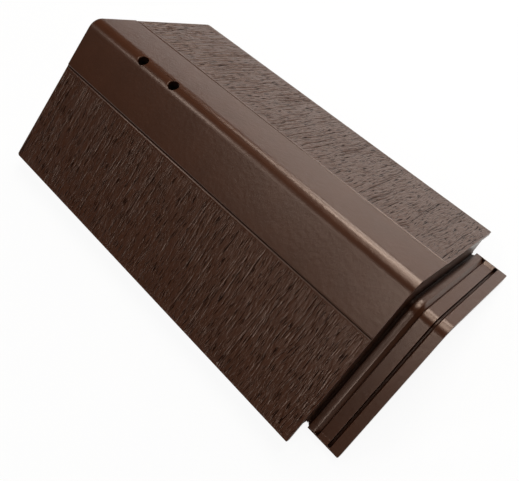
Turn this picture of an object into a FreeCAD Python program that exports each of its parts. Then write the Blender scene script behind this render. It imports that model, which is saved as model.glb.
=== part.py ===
import FreeCAD, Part
import math
import os

# Roof ridge cap: one moulding with two wood-grained flanks that meet in a rounded crest, a smooth raised
# band along the crest, and a stepped lip at one end that the next cap in the run laps over.
# Frame: X runs along the ridge with the lip at +X, Z is up, and the cap is symmetric about Y = 0.
# The origin lies on the floor, under the middle of the cap's box. Sizes are in millimetres.

# Overall form
body_length = 413.4        # exposed length along the ridge, without the lip
flank_width = 167.0        # slant width of one flank, from the sharp crest line to its lower edge
flank_slope = 34.3         # degrees below the horizontal
skin = 4.5                 # thickness of the flanks
crest_radius = 15.0        # outer rounding of the crest
nail_corner_radius = 3.0   # lower corners at the nail end
lap_corner_radius = 1.0    # lower corners over the lip

# Smooth band along the crest
band_width = 53.5          # slant width to each side of the sharp crest line
band_rise = 0.7            # how far it stands above the grained field

# Screw holes on the crest line
hole_radius = 5.5
hole_count = 2
first_hole = 80.2          # from the nail end
hole_spacing = 46.0
hole_rim = 0.8             # countersunk rim around each hole
boss_wall = 3.0            # wall of the short boss under each hole
boss_depth = 14.0          # from the crest's top down to the boss's end

# Wall and bearing ribs under the skin
wall_thickness = 4.8       # upright wall that closes the body behind the lip
wall_inset = 20.0          # from the flanks' lower edges to the wall's sides
rib_thickness = 4.0        # ribs that run back from the wall's sides to the nail end

# Lap lip
lip_length = 36.6          # how far the lip reaches past the body
lip_drop = 20.6            # from the grained field down to the lip's lands, square to the flank
lip_thickness = 7.0
lip_inset = 12.5           # from the flanks' lower edges to the lip's sides, along the slope
lip_crest_radius = 15.0    # rounding of the lands over the crest
lip_corner_radius = 1.2

# Relief on the lip, measured outward from the body's end and down from the lands
foot_groove_end = 2.7      # open groove at the foot of the wall
foot_groove_depth = 3.0
bead_end = 9.3             # crowned bead that stops driven rain
bead_crown = 0.4           # how far the bead's two edges lie below its crown
bead_slope_end = 12.8      # the bead slopes away to a groove beside the channel
bead_slope_depth = 3.6
channel_start = 13.3
channel_end = 23.9
channel_depth = 2.4
stop_groove_foot = 26.1    # narrow water stop between the channel and the last land
stop_groove_end = 27.2
stop_groove_depth = 4.6
side_rim = 1.2             # rim left standing outside the relief's closed ends
channel_ramp = 4.0         # slant length of each rising channel end

# How the solids are made
bead_steps = 8             # facets across the bead's crown
overlap = 1.0              # how far a tool or a joined piece runs past the face that it meets
tolerance = 0.01           # how near an edge lies to the place where it is looked for

slope = math.radians(flank_slope)
cos_slope = math.cos(slope)
sin_slope = math.sin(slope)
wall_side = flank_width - wall_inset
lip_side = flank_width - lip_inset
lip_bottom = lip_drop + lip_thickness


def on_slope(along, depth):
    """Y and Z of a point on the right flank: along the slope and square below the grained field."""
    y = along * cos_slope - depth * sin_slope
    z = -along * sin_slope - depth * cos_slope
    return y, z


floor_z = on_slope(lip_side, lip_bottom)[1]
nail_x = -(body_length + lip_length) / 2.0
lap_x = nail_x + body_length


def place(x, along, depth, side=1):
    """Point in the cap's frame, on the right (1) or left (-1) flank."""
    y, z = on_slope(along, depth)
    return FreeCAD.Vector(x, side * y, z - floor_z)


def crest(x, depth, radius):
    """Arc over the crest between the two flanks, at one depth below the field."""
    apex_z = -depth / cos_slope - floor_z
    centre_z = apex_z - radius / cos_slope
    tangent_y = radius * sin_slope
    tangent_z = centre_z + radius * cos_slope
    left = FreeCAD.Vector(x, -tangent_y, tangent_z)
    top = FreeCAD.Vector(x, 0, centre_z + radius)
    right = FreeCAD.Vector(x, tangent_y, tangent_z)
    return Part.Arc(left, top, right).toShape()


def roof_wire(x, upper, lower, upper_radius, lower_radius):
    """Closed roof-shaped section. Each outline is a list of (along, depth) from the crest outwards."""
    upper_arc = crest(x, upper[0][1], upper_radius)
    lower_arc = crest(x, lower[0][1], lower_radius)
    right = [place(x, s, d) for s, d in upper[1:] + lower[:0:-1]]
    left = [place(x, s, d, -1) for s, d in upper[1:] + lower[:0:-1]]
    right = [upper_arc.Vertexes[1].Point] + right + [lower_arc.Vertexes[1].Point]
    left = [upper_arc.Vertexes[0].Point] + left + [lower_arc.Vertexes[0].Point]
    edges = [upper_arc, lower_arc]
    for chain in (left, right):
        edges += [Part.LineSegment(a, b).toShape() for a, b in zip(chain, chain[1:])]
    return Part.Wire(Part.__sortEdges__(edges))


def roof_prism(x_start, x_end, upper, lower, upper_radius, lower_radius):
    wire = roof_wire(x_start, upper, lower, upper_radius, lower_radius)
    return Part.Face(wire).extrude(FreeCAD.Vector(x_end - x_start, 0, 0))


def flat_strip(depth, width):
    """Outline of a plain strip at one depth: its level at the crest and its lower end."""
    return [(0.0, depth), (width, depth)]


def side_corner(solid, x, along, size, bevel=False):
    """Round or bevel the upright corners at one end of the solid's two sides."""
    corners = []
    for edge in solid.Edges:
        ends = [vertex.Point for vertex in edge.Vertexes]
        reach = [abs(p.y) * cos_slope - (p.z + floor_z) * sin_slope for p in ends]
        misses = [abs(p.x - x) for p in ends] + [abs(r - along) for r in reach]
        if max(misses) < tolerance:
            corners.append(edge)
    return solid.makeChamfer(size, corners) if bevel else solid.makeFillet(size, corners)


def make_skin():
    """Both flanks and the raised band over the crest."""
    field = roof_prism(nail_x, lap_x, flat_strip(0, flank_width), flat_strip(skin, flank_width),
                       crest_radius, crest_radius - skin)
    field = side_corner(field, nail_x, flank_width, nail_corner_radius)
    field = side_corner(field, lap_x, flank_width, lap_corner_radius)
    band_foot = band_width + band_rise
    raised = [(0.0, -band_rise), (band_width, -band_rise), (band_foot, 0.0), (band_foot, skin / 2)]
    band = roof_prism(nail_x, lap_x, raised, flat_strip(skin, band_foot),
                      crest_radius, crest_radius - skin)
    return field.fuse(band)


def make_wall():
    """Upright wall from the skin down to the lip."""
    return roof_prism(lap_x - wall_thickness, lap_x,
                      flat_strip(skin / 2, wall_side), flat_strip(lip_bottom, wall_side),
                      crest_radius, crest_radius)


def make_rib(side):
    """Rib from the wall's side back to the nail end, as deep as the lip's lands of the cap before."""
    outline = [
        place(nail_x, wall_side, skin / 2, side),
        place(nail_x, wall_side, lip_drop, side),
        place(nail_x, wall_side - rib_thickness, lip_drop, side),
        place(nail_x, wall_side - rib_thickness, skin / 2, side),
    ]
    face = Part.Face(Part.makePolygon(outline + outline[:1]))
    return face.extrude(FreeCAD.Vector(body_length - wall_thickness / 2, 0, 0))


def over_crest(outline, half_width):
    """Cutter that carries an (x, depth) outline down one flank, around the crest and down the other."""
    apex_z = -lip_drop / cos_slope - floor_z
    centre = FreeCAD.Vector(0, 0, apex_z - lip_crest_radius / cos_slope)
    crest_top = centre.z + lip_crest_radius
    corners = [FreeCAD.Vector(lap_x + x, 0, crest_top - depth) for x, depth in outline]
    section = Part.Face(Part.makePolygon(corners + corners[:1]))
    along_x = FreeCAD.Vector(1, 0, 0)
    run = half_width - (lip_drop + lip_crest_radius) * math.tan(slope)
    cutter = None
    for side in (1, -1):
        turned = section.copy()
        turned.rotate(centre, along_x, -side * flank_slope)
        reach = FreeCAD.Vector(0, side * run * cos_slope, -run * sin_slope)
        leg = turned.extrude(reach)
        cutter = leg if cutter is None else cutter.fuse(leg)
    return cutter.fuse(turned.revolve(centre, along_x, -2 * flank_slope))


def crowned_bead():
    """Outline above the bead: its shallow crown, its slope and the steep rise to the channel."""
    middle = (foot_groove_end + bead_end) / 2
    half = (bead_end - foot_groove_end) / 2
    crown = []
    for step in range(bead_steps + 1):
        share = 2 * step / bead_steps - 1
        crown.append((middle + share * half, bead_crown * share ** 2))
    slope_foot = (bead_slope_end, bead_slope_depth)
    channel_edge = (channel_start, channel_depth)
    return [(foot_groove_end, -overlap)] + crown + [slope_foot, channel_edge, (channel_start, -overlap)]


def make_channel():
    """Cutter for the level channel, with a ramp up to the side rim at each end."""
    rim = lip_side - side_rim
    upper = [(0.0, lip_drop - overlap), (rim + channel_ramp * overlap / channel_depth, lip_drop - overlap)]
    lower = [(0.0, lip_drop + channel_depth), (rim - channel_ramp, lip_drop + channel_depth)]
    return roof_prism(lap_x + channel_start, lap_x + channel_end, upper, lower,
                      lip_crest_radius + overlap, lip_crest_radius - channel_depth)


def make_lip():
    """Lip plate cut with its foot groove, crowned bead, closed channel and water stop."""
    end_x = lap_x + lip_length
    shoulder = wall_inset - lip_inset
    plate = roof_prism(lap_x - wall_thickness, end_x,
                       flat_strip(lip_drop, lip_side), flat_strip(lip_bottom, lip_side),
                       lip_crest_radius, lip_crest_radius)
    plate = side_corner(plate, end_x, lip_side, lip_corner_radius)
    plate = side_corner(plate, lap_x - wall_thickness, lip_side, shoulder, True)

    foot_groove = [(0.0, -overlap), (0.0, foot_groove_depth),
                   (foot_groove_end, foot_groove_depth), (foot_groove_end, -overlap)]
    groove_back = channel_end + (stop_groove_end - stop_groove_foot) / 2
    stop_groove = [(channel_end, -overlap), (channel_end, channel_depth), (groove_back, stop_groove_depth),
                   (stop_groove_foot, stop_groove_depth), (stop_groove_end, 0.0),
                   (stop_groove_end, -overlap)]
    inside_rim = lip_side - side_rim
    plate = plate.cut(over_crest(foot_groove, lip_side + overlap))
    plate = plate.cut(over_crest(crowned_bead(), inside_rim))
    plate = plate.cut(make_channel())
    return plate.cut(over_crest(stop_groove, inside_rim))


def hole_place(index):
    """X of one screw hole and Z of the crest above it."""
    x = nail_x + first_hole + index * hole_spacing
    return x, crest(x, -band_rise, crest_radius).BoundBox.ZMax


def make_boss(index):
    """Short boss under the crest that guides one screw."""
    x, crest_top = hole_place(index)
    return Part.makeCylinder(hole_radius + boss_wall, boss_depth - skin,
                             FreeCAD.Vector(x, 0, crest_top - boss_depth))


def make_hole(index):
    """Screw hole through the crest and its boss, with a countersunk rim."""
    x, crest_top = hole_place(index)
    drill = Part.makeCylinder(hole_radius, boss_depth + 2 * overlap,
                              FreeCAD.Vector(x, 0, crest_top - boss_depth - overlap))
    rim = Part.makeCone(hole_radius, hole_radius + hole_rim + overlap, hole_rim + overlap,
                        FreeCAD.Vector(x, 0, crest_top - hole_rim))
    return drill.fuse(rim)


def make_ridge_cap():
    bosses = [make_boss(index) for index in range(hole_count)]
    cap = make_skin().fuse([make_wall(), make_rib(1), make_rib(-1), make_lip()] + bosses)
    for index in range(hole_count):
        cap = cap.cut(make_hole(index))
    return cap.removeSplitter()


os.makedirs("parts", exist_ok=True)
ridge_cap = make_ridge_cap()
ridge_cap.exportStep("parts/ridge_cap.step")
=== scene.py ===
import math

import bmesh
import bpy
import numpy as np
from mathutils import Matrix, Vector


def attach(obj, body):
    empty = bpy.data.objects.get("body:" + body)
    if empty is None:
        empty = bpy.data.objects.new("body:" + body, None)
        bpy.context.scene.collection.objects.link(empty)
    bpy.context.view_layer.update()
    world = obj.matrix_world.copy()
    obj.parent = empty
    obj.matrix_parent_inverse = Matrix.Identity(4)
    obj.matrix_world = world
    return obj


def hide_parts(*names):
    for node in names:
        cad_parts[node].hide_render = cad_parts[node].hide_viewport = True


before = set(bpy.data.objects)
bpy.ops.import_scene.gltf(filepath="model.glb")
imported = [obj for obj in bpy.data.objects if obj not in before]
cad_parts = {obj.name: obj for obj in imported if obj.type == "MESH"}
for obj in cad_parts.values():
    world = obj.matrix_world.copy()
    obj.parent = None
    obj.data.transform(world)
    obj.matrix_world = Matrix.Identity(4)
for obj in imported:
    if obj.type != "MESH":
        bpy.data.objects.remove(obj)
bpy.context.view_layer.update()        # bodies, nodes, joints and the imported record

# A wood-grained roof ridge cap on a pale studio floor. Lengths are in metres and angles in degrees.
mm = 0.001

# Edges
weld = 0.001 * mm            # corners closer than this are one corner
flat_angle = 0.2             # facets that meet within this angle are one flat face
sharp_angle = 28.0           # edges that turn by more than this are softened
edge_round = 0.35 * mm
round_steps = 2
relief_share = 0.8           # share of that softening in the lip's fine relief
body_end = 188.4 * mm        # the relief lies beyond this place along the ridge

# Grain cells
field_up = 0.5               # a grained field's normal points up by more than this
field_aside = 0.3            # and to its own side by more than this
cell_along = 0.45 * mm       # along the ridge, across the grain
cell_down = 2.4 * mm         # down the slope, along the grain
cell_border = 0.15 * mm      # first and last cells, which stay flat
cut_weld = 0.0001 * mm       # a corner this close to a cutting plane lies on it
place_digits = 7             # decimals of a metre that tell two corners apart
grain_fade = 1.0 * mm        # the grain dies out over this width at the field's edges
foot_middle = 0.90 * mm      # fine groove along the band's foot, from the foot down the slope
foot_end = 2.30 * mm
foot_depth = 0.50 * mm
foot_shade = 0.80         # painted shade in the groove's middle; its inner edge, under the band's step, is painted fully dark as a shadow line

# Grain grooves. Width and fall are those of the gentle wall; kept is the share of the grooves that is
# left at the nail end and at the lip.
grain_seed = 7
bold_lines = dict(pitch=3.2 * mm, length=(20 * mm, 90 * mm), width=(0.88 * mm, 0.92 * mm),
                  fall=(0.75, 0.92), kept=(1.0, 0.10))
fine_lines = dict(pitch=3.4 * mm, length=(5 * mm, 20 * mm), width=(0.55 * mm, 0.80 * mm),
                  fall=(0.45, 0.75), kept=(0.6, 1.0))
pores = dict(pitch=2.8 * mm, length=(2.4 * mm, 8 * mm), width=(0.55 * mm, 0.90 * mm),
             fall=(0.32, 0.60), kept=(0.3, 1.0))
steep_share = 0.40           # width of the steep wall as a share of the gentle one
taper_power = 4              # the higher, the blunter a groove's two ends
strength_middle = 0.95       # grooves are a little deeper in some patches than in others
strength_spread = 0.3
strength_range = (0.7, 1.0)
deepest = 0.80 * mm          # this deep the grain gets the full painted shade
wave_count = 10
wander_size = 0.7 * mm       # how far the cells, and the lines with them, wander sideways
wander_fade = 12 * mm        # they run straight again over this width at the field's edges
wander_down = (45 * mm, 140 * mm)
wander_along = (20 * mm, 90 * mm)
cluster_down = (12 * mm, 45 * mm)
cluster_along = (10 * mm, 40 * mm)
fibre_depth = 0.05 * mm
fibre_along = (1.2 * mm, 2.6 * mm)
fibre_down = (18 * mm, 70 * mm)

# Plastic
brown = (0.047, 0.0159, 0.0074, 1.0)
# colour of the painted shade in grooves, along the band's foot and in inner corners
shade_brown = (0.012, 0.004, 0.002, 1.0)
satin = 0.30
full_gloss = 0.5
warm_gloss = (1.0, 0.79, 0.66, 1.0)
mottle_size = 24 * mm        # slow, faint change of tone
mottle_detail = 3
mottle_source = (0.3, 0.7)   # levels of the pattern that give the least and the greatest tone
mottle_range = (0.92, 1.08)
grit_size = 1.0 * mm         # fine moulded grit on every face
grit_detail = 3
grit_height = 0.055 * mm
peel_size = 4.5 * mm         # faint waviness of the smooth faces
peel_detail = 1
peel_height = 0.10 * mm
hairline_size = 1.0 * mm     # finest grain: hairline grooves
hairline_detail = 2
hairline_stretch = 0.08
hairline_range = (0.50, 0.64)  # the pattern sinks from none to full between these levels
hairline_depth = 0.13 * mm
shade_range = (0.45, 0.90)  # depth of the grain from which painted shade starts, and at which it is darkest
shaded_gloss_share = 0.10          # share of the gloss that is left under that painted shade
shade_reach = 14 * mm       # inner corners, slots and holes are painted darker as shade by how much is open within this reach
shade_open = (0.72, 0.48)   # open share at which the painted shade starts, and at which it is darkest
shade_samples = 8

# Camera, from the photograph's straight edges
camera_place = (0.24362, -0.18794, 0.49748)
camera_turn = (28.414, 2.790, 46.517)
camera_lens = 39.25
camera_sensor = 36.0

# Studio
floor_size = 12.0
floor_grey = 0.85
floor_rough = 0.9
floor_seen = 0.92            # share of plain white that the floor shows to the eye
floor_mirrored = 0.10        # and to gloss
room_light = 0.012
aim = Vector((0.0, 0.0, 0.06))
lamp_distance = 2.0
window_light = (1.0, 0.965, 0.915)
strip_light = (1.0, 1.0, 1.0)
# name, azimuth and height of the lamp in degrees, its width and height, power in watts, colour
lamps = (
    ("far_window", 105, 44, 0.5, 0.5, 14.0, window_light),
    ("far_side_window", 75, 57, 0.5, 0.5, 10.8, window_light),
    ("far_middle_window", 90, 31, 0.5, 0.5, 9.5, window_light),
    ("far_low_window", 105, 18, 0.5, 0.5, 6.2, window_light),
    ("far_low_side_window", 90, 18, 0.5, 0.5, 3.9, window_light),
    ("far_corner_lamp", 121, 30, 0.3, 0.3, 3.0, window_light),
    ("ceiling_window", 90, 70, 0.5, 0.5, 5.3, window_light),
    ("near_left_strip", -155, 49, 0.5, 0.28, 5.9, strip_light),
    ("near_middle_strip", -121, 49, 0.5, 0.28, 3.1, strip_light),
    ("near_right_strip", -88, 49, 0.5, 0.28, 4.4, strip_light),
    ("grain_lamp", -59, 29, 0.45, 0.35, 6.0, strip_light),
)


def placed(name, data):
    """A new object of this name in the scene."""
    thing = bpy.data.objects.new(name, data)
    bpy.context.scene.collection.objects.link(thing)
    return thing


def welded_cap(node):
    """The node's mesh with its corners joined and its flat faces whole."""
    shape = bmesh.new()
    shape.from_mesh(node.data)
    bmesh.ops.remove_doubles(shape, verts=shape.verts, dist=weld)
    bmesh.ops.dissolve_limit(shape, angle_limit=math.radians(flat_angle), verts=shape.verts,
                             edges=shape.edges)
    return shape


def grained_field(shape, side):
    """The largest face that looks up on one side: the flat field between the band and the lower edge."""
    faces = [f for f in shape.faces if f.normal.z > field_up and side * f.normal.y > field_aside]
    return max(faces, key=lambda f: f.calc_area())


def edge_share(edge):
    """How much an edge is softened: not at all, fully, or somewhat less in the lip's fine relief."""
    if not edge.is_manifold or edge.calc_face_angle() < math.radians(sharp_angle):
        return 0.0
    return relief_share if min(v.co.x for v in edge.verts) > body_end - weld else 1.0


def soften_edges(shape):
    """Round the sharp edges. Returns the softened shape."""
    share = shape.edges.layers.float.new("bevel_weight_edge")
    for edge in shape.edges:
        edge[share] = edge_share(edge)
    mesh = bpy.data.meshes.new("sharp_cap")
    shape.to_mesh(mesh)
    shape.free()
    sharp = placed("sharp_cap", mesh)
    rounding = sharp.modifiers.new("rounding", "BEVEL")
    rounding.width = edge_round
    rounding.segments = round_steps
    rounding.limit_method = "WEIGHT"
    rounding.use_clamp_overlap = False
    done = sharp.evaluated_get(bpy.context.evaluated_depsgraph_get()).to_mesh()
    shape = bmesh.new()
    shape.from_mesh(done)
    bpy.data.objects.remove(sharp)
    bpy.data.meshes.remove(mesh)
    return shape


def bisect(shape, faces, point, direction):
    """Cut the faces by a plane. Returns the faces before it and the faces beyond it."""
    edges = {e for f in faces for e in f.edges}
    verts = {v for f in faces for v in f.verts}
    geometry = list(faces) + list(edges) + list(verts)
    cut = bmesh.ops.bisect_plane(shape, geom=geometry, plane_co=point, plane_no=direction,
                                 dist=cut_weld)
    made = [g for g in cut["geom"] if isinstance(g, bmesh.types.BMFace)]
    beyond = [f for f in made if (f.calc_center_median() - point).dot(direction) > 0]
    before = [f for f in made if (f.calc_center_median() - point).dot(direction) <= 0]
    return before, beyond


def stations(low, high, pitch):
    """Cut places between two borders, evenly spaced, with one narrow cell at each end."""
    count = max(1, round((high - low) / pitch))
    inner = [low + (high - low) * i / count for i in range(1, count)]
    return [low + cell_border] + inner + [high - cell_border]


def cut_by(shape, faces, start, direction, places):
    """Cut the faces by a row of parallel planes at these distances from the start."""
    done = []
    rest = faces
    for place in places:
        before, rest = bisect(shape, rest, start + direction * place, direction)
        done += before
    return done + rest


def cut_fields(shape):
    """Cut the two grained fields into small cells. Returns each field's side, normal, direction down the
    slope, cells, and extent along the ridge and down the slope."""
    along = Vector((1, 0, 0))
    pair = [grained_field(shape, side) for side in (1, -1)]
    places_x = [v.co.x for f in pair for v in f.verts]
    x_low = min(places_x)
    x_high = max(places_x)
    columns = cut_by(shape, pair, Vector(), along, stations(x_low, x_high, cell_along))
    fields = []
    for side in (1, -1):
        own = [f for f in columns if side * f.normal.y > 0]
        normal = own[0].normal.copy()
        down = along.cross(normal) * -side
        heads = [v.co for f in own for v in f.verts]
        top = min(h.dot(down) for h in heads)
        bottom = max(h.dot(down) for h in heads)
        start = heads[0] - down * heads[0].dot(down)
        places = stations(top, bottom, cell_down)
        places[1:1] = [top + foot_middle, top + foot_end]
        cells = cut_by(shape, own, start, down, places)
        fields.append({"side": side, "normal": normal, "down": down, "cells": cells,
                       "x": (x_low, x_high), "s": (top, bottom)})
    return fields


def waves(x, s, random, along, down):
    """A smooth random height, about -1 to 1, with wave lengths in the two given ranges."""
    total = np.zeros_like(x)
    for _ in range(wave_count):
        turn = random.uniform(0, 2 * math.pi)
        step_x = random.choice((-1, 1)) / random.uniform(*along)
        step_s = 1 / random.uniform(*down)
        total += np.sin(2 * math.pi * (x * step_x + s * step_s) + turn)
    return total / math.sqrt(wave_count)


def groove_shape(x, s, middle_x, middle_s, length, wall):
    """How far one groove sinks at each corner: 0 at its rim and 1 in its middle."""
    share = (s - middle_s) / (length / 2)
    aside = x - middle_x
    reached = np.where(aside < 0, 1 + aside / wall, 1 - aside / (steep_share * wall))
    return np.clip(reached, 0, 1) * (1 - share ** taper_power)


def press_lines(x, s, height, cluster, random, kind):
    """Press one kind of short tapering groove, each along one column of cells, into the height."""
    widest = kind["width"][1]
    kept_first, kept_last = kind["kept"]
    order = np.argsort(x)
    sorted_x = x[order]
    columns = np.unique(np.round(x, place_digits))
    count = int(np.ptp(x) / kind["pitch"] * np.ptp(s) / (sum(kind["length"]) / 2))
    for _ in range(count):
        middle_x = random.choice(columns)
        middle_s = random.uniform(s.min(), s.max())
        length = random.uniform(*kind["length"])
        wall = random.uniform(*kind["width"])
        depth = wall * random.uniform(*kind["fall"])
        first, last = np.searchsorted(sorted_x, (middle_x - widest, middle_x + widest))
        near = order[first:last]
        near = near[np.abs(s[near] - middle_s) < length / 2]
        kept = kept_first + (kept_last - kept_first) * (middle_x - x.min()) / np.ptp(x)
        if not len(near) or random.uniform(0, 1) > kept:
            continue
        groove = groove_shape(x[near], s[near], middle_x, middle_s, length, wall)
        strength = np.clip(strength_middle + strength_spread * cluster[near], *strength_range)
        height[near] = np.minimum(height[near], -depth * strength * groove)


def grain_relief(x, s, random):
    """Height of the grain, and how far it wanders sideways, at each corner of an endless field."""
    wander = wander_size * waves(x, s, random, wander_along, wander_down)
    cluster = waves(x, s, random, cluster_along, cluster_down)
    height = np.zeros_like(x)
    for kind in (bold_lines, fine_lines, pores):
        press_lines(x, s, height, cluster, random, kind)
    fibre = waves(x, s, random, fibre_along, fibre_down)
    height -= fibre_depth * (0.5 + 0.5 * np.tanh(fibre))
    return height, wander


def field_relief(field, x, s, random):
    """Height, sideways move, painted shade and grained share at each corner. The grain dies out at the
    field's borders, and a fine groove runs along the band's foot with a painted shadow line above it;
    deeper grain is painted darker as shade."""
    height, wander = grain_relief(x, s, random)
    x_low, x_high = field["x"]
    s_low, s_high = field["s"]
    edge = np.minimum(np.minimum(x - x_low, x_high - x), np.minimum(s - s_low - foot_end, s_high - s))
    grained = np.clip((edge - cell_border) / grain_fade, 0, 1)
    aside = wander * np.clip((edge - cell_border) / wander_fade, 0, 1)
    within = np.minimum(x - x_low, x_high - x) > cell_border + weld
    in_foot = within & (np.abs(s - s_low - foot_middle) < cell_border)
    height = np.where(in_foot, -foot_depth, height * grained)
    # painted shade: the deeper the grain, the darker it is painted; the foot groove is painted at a set
    # shade
    darkness = np.where(in_foot, foot_shade, -height / deepest)
    # painted shadow line: the strip between the band's step and the foot groove's middle is painted fully
    # dark
    darkness = np.where(within & (s - s_low < foot_middle - cell_border), 1.0, darkness)
    return height, aside, darkness, grained


def press_grain(shape, field, random):
    """Move a field's corners into its grain, and note painted shade, place and grained share on each."""
    for cell in field["cells"]:
        cell.smooth = False
    down = field["down"]
    verts = list({v for f in field["cells"] for v in f.verts})
    verts.sort(key=lambda v: (round(v.co.x, place_digits), round(v.co.dot(down), place_digits)))
    x = np.array([v.co.x for v in verts])
    s = np.array([v.co.dot(down) for v in verts])
    relief = field_relief(field, x, s, random)
    # this layer carries the painted shade of the grain
    depth = shape.verts.layers.float["grain_shade"]
    place = shape.verts.layers.float_vector["grain_place"]
    grained = shape.verts.layers.float["grained"]
    for vert, descent, drop, aside, dark, share in zip(verts, s, *relief):
        vert[depth] = float(dark)
        vert[place] = (vert.co.x, field["side"] * float(descent), 0.0)
        vert[grained] = float(share)
        vert.co += field["normal"] * float(drop) + Vector((float(aside), 0, 0))


def make_cap(node):
    """The cap with softened edges and pressed grain, in place of the plain solid."""
    shape = soften_edges(welded_cap(node))
    shape.verts.layers.float.new("grain_shade")
    shape.verts.layers.float_vector.new("grain_place")
    shape.verts.layers.float.new("grained")
    for face in shape.faces:
        face.smooth = True
    random = np.random.default_rng(grain_seed)
    for field in cut_fields(shape):
        press_grain(shape, field, random)
    mesh = bpy.data.meshes.new("moulded_cap")
    shape.to_mesh(mesh)
    shape.free()
    cap = placed("moulded_cap", mesh)
    cap.modifiers.new("even_shading", "WEIGHTED_NORMAL")
    return cap


def attribute(nodes, name):
    """Node that reads what was noted on the mesh's corners under this name."""
    node = nodes.new("ShaderNodeAttribute")
    node.attribute_name = name
    return node


def noise(nodes, link, place, size, detail):
    """Smooth random pattern with features of about this size."""
    texture = nodes.new("ShaderNodeTexNoise")
    texture.inputs["Scale"].default_value = 1 / size
    texture.inputs["Detail"].default_value = detail
    link(place, texture.inputs["Vector"])
    return texture.outputs["Fac"]


def bump(nodes, link, pattern, height, below):
    """Bump of this height on top of another one."""
    node = nodes.new("ShaderNodeBump")
    node.inputs["Strength"].default_value = 1.0
    node.inputs["Distance"].default_value = height
    link(pattern, node.inputs["Height"])
    if below:
        link(below, node.inputs["Normal"])
    return node.outputs["Normal"]


def ranged(nodes, link, value, source, target):
    """The value carried from one range to another."""
    node = nodes.new("ShaderNodeMapRange")
    node.inputs["From Min"].default_value, node.inputs["From Max"].default_value = source
    node.inputs["To Min"].default_value, node.inputs["To Max"].default_value = target
    link(value, node.inputs["Value"])
    return node.outputs[0]


def combined(nodes, link, operation, first, second):
    """The result of a math operation on two values."""
    node = nodes.new("ShaderNodeMath")
    node.operation = operation
    link(first, node.inputs[0])
    link(second, node.inputs[1])
    return node.outputs[0]


def scaled(nodes, link, value, factor):
    """The value times a plain number."""
    node = nodes.new("ShaderNodeMath")
    node.operation = "MULTIPLY"
    node.inputs[1].default_value = factor
    link(value, node.inputs[0])
    return node.outputs[0]


def hairlines(nodes, link):
    """Hairline grooves that run down the slope: 0 on the open face and 1 in their middle."""
    stretched = nodes.new("ShaderNodeMapping")
    stretched.inputs["Scale"].default_value = (1.0, hairline_stretch, 1.0)
    link(attribute(nodes, "grain_place").outputs["Vector"], stretched.inputs["Vector"])
    pattern = noise(nodes, link, stretched.outputs[0], hairline_size, hairline_detail)
    groove = ranged(nodes, link, pattern, hairline_range, (0, 1))
    return combined(nodes, link, "MULTIPLY", groove, attribute(nodes, "grained").outputs["Fac"])


def corner_shade(nodes, link):
    """Painted shade in inner corners, slots and holes, from how much is open around them: 0 on an open
    face and 1 deep inside.
    """
    shelter = nodes.new("ShaderNodeAmbientOcclusion")
    shelter.only_local = True
    shelter.samples = shade_samples
    shelter.inputs["Distance"].default_value = shade_reach
    return ranged(nodes, link, shelter.outputs["AO"], shade_open, (0, 1))


def plastic_tone(nodes, link, place, painted_shade):
    """Brown, painted darker as shade down in the grain, along the band's foot and in inner corners, with
    a slow faint mottle.
    """
    tone = nodes.new("ShaderNodeMix")
    tone.data_type = "RGBA"
    tone.inputs["A"].default_value = brown
    tone.inputs["B"].default_value = shade_brown
    link(painted_shade, tone.inputs["Factor"])
    mottled = nodes.new("ShaderNodeHueSaturation")
    mottle = noise(nodes, link, place, mottle_size, mottle_detail)
    link(ranged(nodes, link, mottle, mottle_source, mottle_range), mottled.inputs["Value"])
    link(tone.outputs["Result"], mottled.inputs["Color"])
    return mottled.outputs[0]


def plastic_relief(nodes, link, place, grooves):
    """Fine grit and faint waviness on every face, and the hairline grooves on the grained fields."""
    peel = noise(nodes, link, place, peel_size, peel_detail)
    relief = bump(nodes, link, peel, peel_height, None)
    grit = noise(nodes, link, place, grit_size, grit_detail)
    relief = bump(nodes, link, grit, grit_height, relief)
    return bump(nodes, link, grooves, -hairline_depth, relief)


def plastic():
    """Dark brown moulded plastic with a satin face, painted darker and less glossy as shade in its
    grooves and corners.
    """
    material = bpy.data.materials.new("brown_plastic")
    material.use_nodes = True
    nodes = material.node_tree.nodes
    link = material.node_tree.links.new
    surface = nodes["Principled BSDF"]
    place = nodes.new("ShaderNodeTexCoord").outputs["Object"]
    surface.inputs["Roughness"].default_value = satin
    surface.inputs["Specular Tint"].default_value = warm_gloss
    grooves = hairlines(nodes, link)
    # painted shade: grooves and inner corners darken the colour and take gloss away
    deep = combined(nodes, link, "MAXIMUM", grooves, attribute(nodes, "grain_shade").outputs["Fac"])
    pressed = ranged(nodes, link, deep, shade_range, (0, 1))
    painted_shade = combined(nodes, link, "MAXIMUM", pressed, corner_shade(nodes, link))
    gloss = ranged(nodes, link, painted_shade, (0, 1), (full_gloss, full_gloss * shaded_gloss_share))
    link(gloss, surface.inputs["Specular IOR Level"])
    link(plastic_tone(nodes, link, place, painted_shade), surface.inputs["Base Color"])
    link(plastic_relief(nodes, link, place, grooves), surface.inputs["Normal"])
    return material


def floor_paint():
    """Pale paint that shows plain white to the eye and little of it to gloss."""
    material = bpy.data.materials.new("floor_paint")
    material.use_nodes = True
    nodes = material.node_tree.nodes
    link = material.node_tree.links.new
    paint = nodes["Principled BSDF"]
    paint.inputs["Base Color"].default_value = (floor_grey, floor_grey, floor_grey, 1)
    paint.inputs["Roughness"].default_value = floor_rough
    glow = nodes.new("ShaderNodeEmission")
    path = nodes.new("ShaderNodeLightPath")
    eye = combined(nodes, link, "MAXIMUM", path.outputs["Is Camera Ray"],
                   path.outputs["Is Transmission Ray"])
    seen = scaled(nodes, link, eye, floor_seen)
    mirrored = scaled(nodes, link, path.outputs["Is Glossy Ray"], floor_mirrored)
    mix = nodes.new("ShaderNodeMixShader")
    link(combined(nodes, link, "MAXIMUM", seen, mirrored), mix.inputs["Fac"])
    link(paint.outputs[0], mix.inputs[1])
    link(glow.outputs[0], mix.inputs[2])
    link(mix.outputs[0], nodes["Material Output"].inputs["Surface"])
    return material


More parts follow.
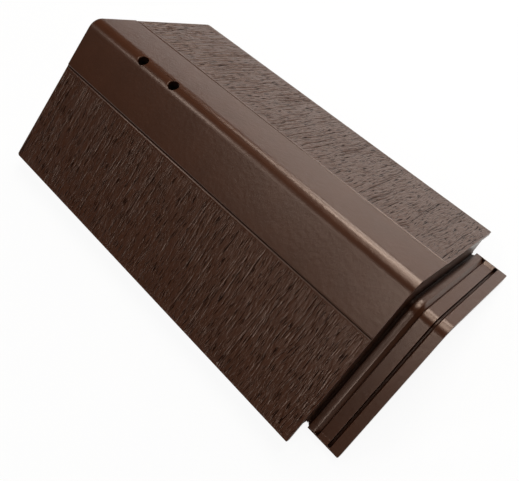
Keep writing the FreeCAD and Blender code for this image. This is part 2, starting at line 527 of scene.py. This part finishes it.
def make_floor():
    """Pale floor that looks white where nothing shades it."""
    mesh = bpy.data.meshes.new("studio_floor")
    half = floor_size / 2
    outline = [(-half, -half, 0), (half, -half, 0), (half, half, 0), (-half, half, 0)]
    mesh.from_pydata(outline, [], [(0, 1, 2, 3)])
    floor = placed("studio_floor", mesh)
    mesh.materials.append(floor_paint())


def make_world():
    """White to the eye and a nearly dark room to the object."""
    world = bpy.data.worlds.new("studio")
    bpy.context.scene.world = world
    world.use_nodes = True
    nodes = world.node_tree.nodes
    link = world.node_tree.links.new
    room = nodes["Background"]
    room.inputs["Color"].default_value = (room_light, room_light, room_light, 1)
    white = nodes.new("ShaderNodeBackground")
    white.inputs["Color"].default_value = (1, 1, 1, 1)
    path = nodes.new("ShaderNodeLightPath")
    mix = nodes.new("ShaderNodeMixShader")
    link(path.outputs["Is Camera Ray"], mix.inputs["Fac"])
    link(room.outputs[0], mix.inputs[1])
    link(white.outputs[0], mix.inputs[2])
    link(mix.outputs[0], nodes["World Output"].inputs["Surface"])


def make_lamps():
    """Windows on the far side and above, strips and a grain lamp on the near side."""
    for name, azimuth, up, width, height, power, colour in lamps:
        light = bpy.data.lights.new(name, "AREA")
        light.shape = "RECTANGLE"
        light.size = width
        light.size_y = height
        light.energy = power
        light.color = colour
        lamp = placed(name, light)
        turn = math.radians(azimuth)
        rise = math.radians(up)
        level = math.cos(rise)
        towards = Vector((math.cos(turn) * level, math.sin(turn) * level, math.sin(rise)))
        lamp.location = aim + towards * lamp_distance
        lamp.rotation_euler = towards.to_track_quat("Z", "Y").to_euler()
        lamp.visible_camera = False


def make_camera():
    """The photograph's camera."""
    data = bpy.data.cameras.new("photo_camera")
    data.sensor_width = camera_sensor
    data.lens = camera_lens
    camera = placed("photo_camera", data)
    camera.location = camera_place
    camera.rotation_euler = [math.radians(a) for a in camera_turn]
    bpy.context.scene.camera = camera


cap = make_cap(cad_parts["ridge_cap"])
cap.data.materials.append(plastic())
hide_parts("ridge_cap")
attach(cap, "root")
make_floor()
make_world()
make_lamps()
make_camera()
bpy.context.scene.view_settings.view_transform = "Standard"
